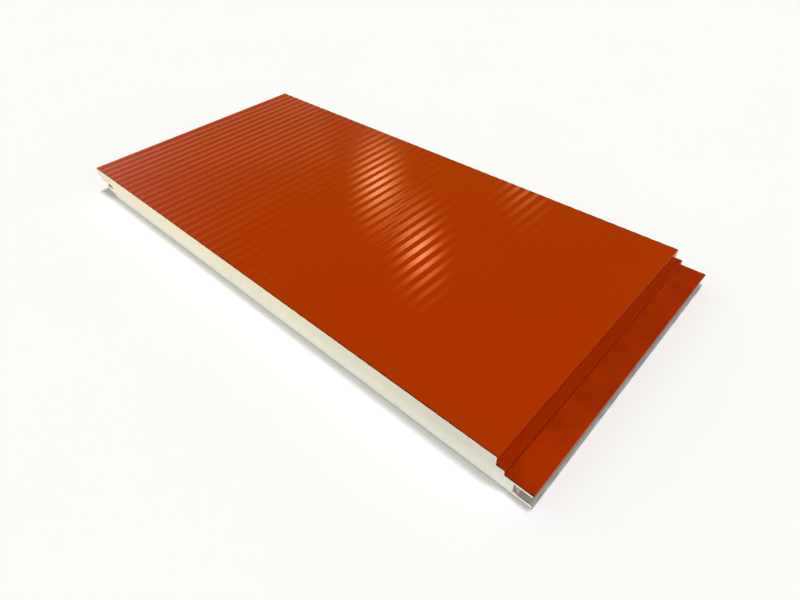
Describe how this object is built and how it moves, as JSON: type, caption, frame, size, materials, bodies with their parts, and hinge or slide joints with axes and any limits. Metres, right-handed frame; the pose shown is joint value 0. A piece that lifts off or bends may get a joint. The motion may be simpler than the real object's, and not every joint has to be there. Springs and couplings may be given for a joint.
{
  "type": "insulated sandwich panel",
  "caption": "Insulated wall panel: foam core between a ribbed painted steel face and a flat inner sheet, lip and tongue on one edge, screw ledge and slot on the other.",
  "frame": {"origin": "centre of the underside of the whole panel, on the floor it lies on", "axes": "+X across the panel's width from the covering lip to the screw ledge, +Y along the rolled length, +Z from the flat inner sheet to the ribbed face"},
  "size_m": [1.05, 0.49, 0.05],
  "materials": {
    "outer_paint": "orange-red coil-coated paint, satin, on galvanised steel sheet",
    "foam": "pale cream rigid polyurethane foam, fine closed cells, saw cut at both ends",
    "inner_paint": "grey-white coil-coated paint, satin, on galvanised steel sheet"
  },
  "bodies": {
    "root": {"outer_facing": "outer_paint", "foam_core": "foam", "inner_facing": "inner_paint"}
  },
  "joints": []
}
